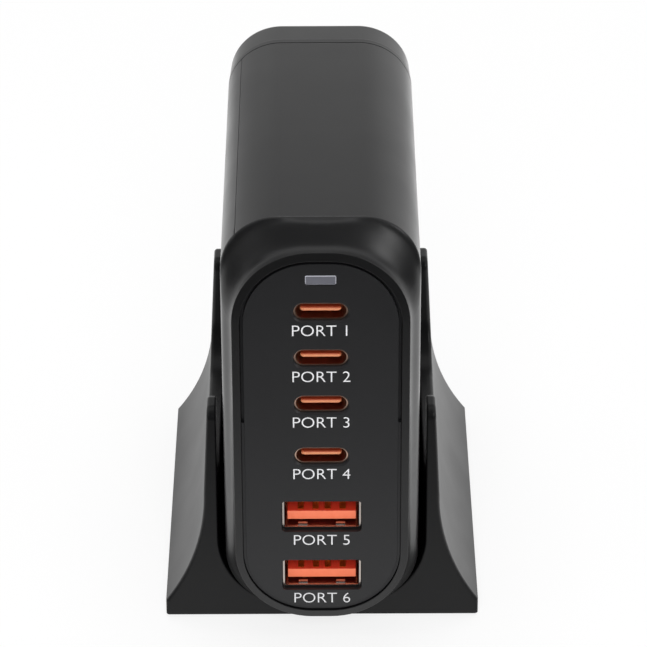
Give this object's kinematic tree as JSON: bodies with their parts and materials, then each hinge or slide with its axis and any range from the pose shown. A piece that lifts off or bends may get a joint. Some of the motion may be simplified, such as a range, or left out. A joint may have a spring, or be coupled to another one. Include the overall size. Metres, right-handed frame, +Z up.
{
  "type": "multi port usb desktop charger",
  "caption": "Upright desktop charger with a tall rounded front panel of USB-C and USB-A sockets, resting in a flared cradle stand with posts on both sides.",
  "frame": {"origin": "centre of the bounding box in plan, at the bottom of the stand's feet", "axes": "+Z up, -Y out of the port face, +X to the right as seen from the front"},
  "size_m": [0.0534, 0.0772, 0.0782],
  "materials": {
    "moulded_grey": "satin",
    "panel_grey": "fine matt",
    "stand_grey": "satin",
    "pale_window": "frosted",
    "plated_shell": "plated",
    "orange_tongue": "moulded",
    "gold_contact": "plated",
    "board_green": "solder mask",
    "black_moulding": "moulded",
    "ferrite": "sintered",
    "winding_tape": "tape",
    "copper_winding": "enamelled wire",
    "can_sleeve": "shrunk sleeve",
    "bare_can": "bare",
    "spreader_plate": "mill",
    "soft_pad": "soft",
    "foot_rubber": "matt",
    "yellow_box": "moulded",
    "wire_brown": "insulated",
    "plated_pin": "plated"
  },
  "bodies": {
    "root": {"ac_inlet": "black_moulding", "boost_choke": "copper_winding", "boost_choke_base": "black_moulding", "bridge_rectifier": "black_moulding", "bulk_capacitor_1": "can_sleeve", "bulk_capacitor_2": "can_sleeve", "filter_capacitor": "yellow_box", "foot_pads": "foot_rubber", "heat_spreader": "spreader_plate", "inlet_leads": "wire_brown", "inlet_pins": "plated_pin", "light_pipe": "pale_window", "line_choke": "copper_winding", "line_choke_base": "black_moulding", "line_fuse": "black_moulding", "main_board": "board_green", "main_housing": "moulded_grey", "output_capacitor_1": "bare_can", "output_capacitor_2": "bare_can", "output_capacitor_3": "bare_can", "output_capacitor_4": "bare_can", "output_inductor_1": "ferrite", "output_inductor_2": "ferrite", "port_board": "board_green", "port_panel": "panel_grey", "rear_cap": "moulded_grey", "side_cover": "moulded_grey", "stand": "stand_grey", "status_led": "pale_window", "thermal_pad": "soft_pad", "transformer_bobbin": "black_moulding", "transformer_core": "ferrite", "transformer_winding": "winding_tape", "usb_a_contacts_1": "gold_contact", "usb_a_contacts_2": "gold_contact", "usb_a_shell_1": "plated_shell", "usb_a_shell_2": "plated_shell", "usb_a_tongue_1": "orange_tongue", "usb_a_tongue_2": "orange_tongue", "usb_c_shell_1": "plated_shell", "usb_c_shell_2": "plated_shell", "usb_c_shell_3": "plated_shell", "usb_c_shell_4": "plated_shell", "usb_c_tongue_1": "orange_tongue", "usb_c_tongue_2": "orange_tongue", "usb_c_tongue_3": "orange_tongue", "usb_c_tongue_4": "orange_tongue"}
  },
  "joints": []
}
